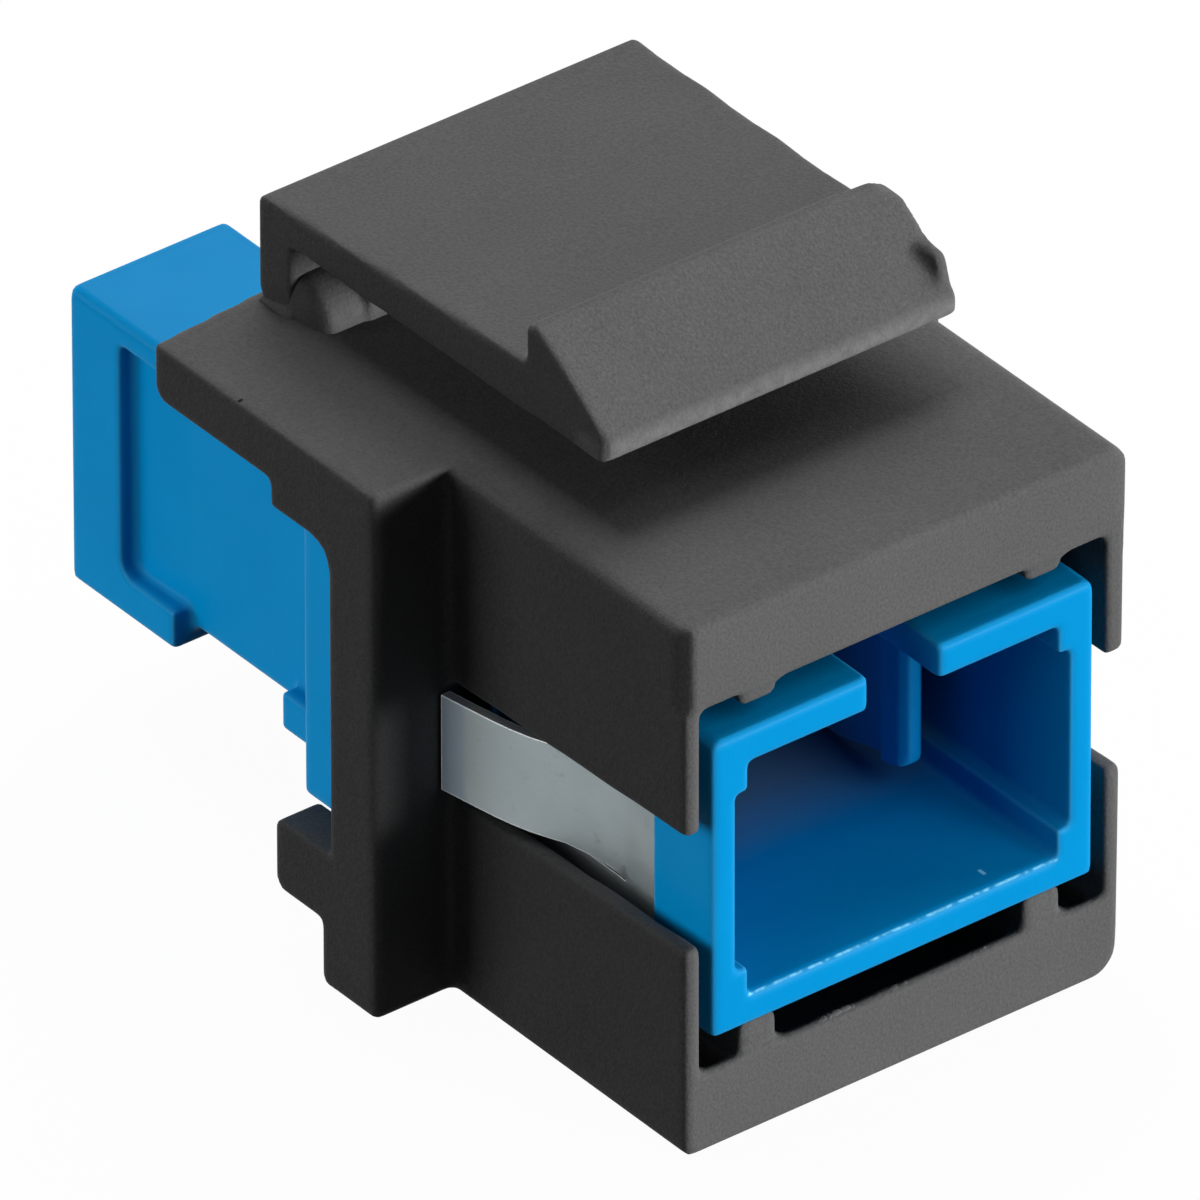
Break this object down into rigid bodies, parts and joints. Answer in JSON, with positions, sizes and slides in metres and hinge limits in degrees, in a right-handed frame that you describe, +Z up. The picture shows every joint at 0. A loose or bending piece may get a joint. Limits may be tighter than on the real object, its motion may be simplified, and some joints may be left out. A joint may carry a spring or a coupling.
{
  "type": "snap-in fibre coupler",
  "caption": "Simplex fibre coupler with square push-pull sockets, held in a snap-in panel housing with a sprung latch arm",
  "frame": {"origin": "middle of the alignment sleeve, on the fibre axis", "axes": "+Y from the front socket towards the rear socket, +Z up towards the latch arm, +X to the right seen from the front"},
  "size_m": [0.019, 0.0278, 0.0213],
  "materials": {
    "housing_grey": "fine grain",
    "coupler_blue": "satin",
    "sleeve_ceramic": "polished",
    "spring_steel": "rolled"
  },
  "bodies": {
    "housing": {"keystone_housing": "housing_grey", "adapter_front_shell": "coupler_blue", "adapter_rear_shell": "coupler_blue", "front_sleeve_holder": "coupler_blue", "rear_sleeve_holder": "coupler_blue", "alignment_sleeve": "sleeve_ceramic", "retaining_clip": "spring_steel"},
    "latch_arm": {"latch_arm": "housing_grey"}
  },
  "joints": [
    {"name": "latch_press", "type": "hinge", "parent": "housing", "child": "latch_arm", "pos_m": [0, 0.00513, 0.0089], "axis": [1, 0, 0], "range_deg": [0, 7], "stiffness_Nm_per_rad": 0.6}
  ]
}
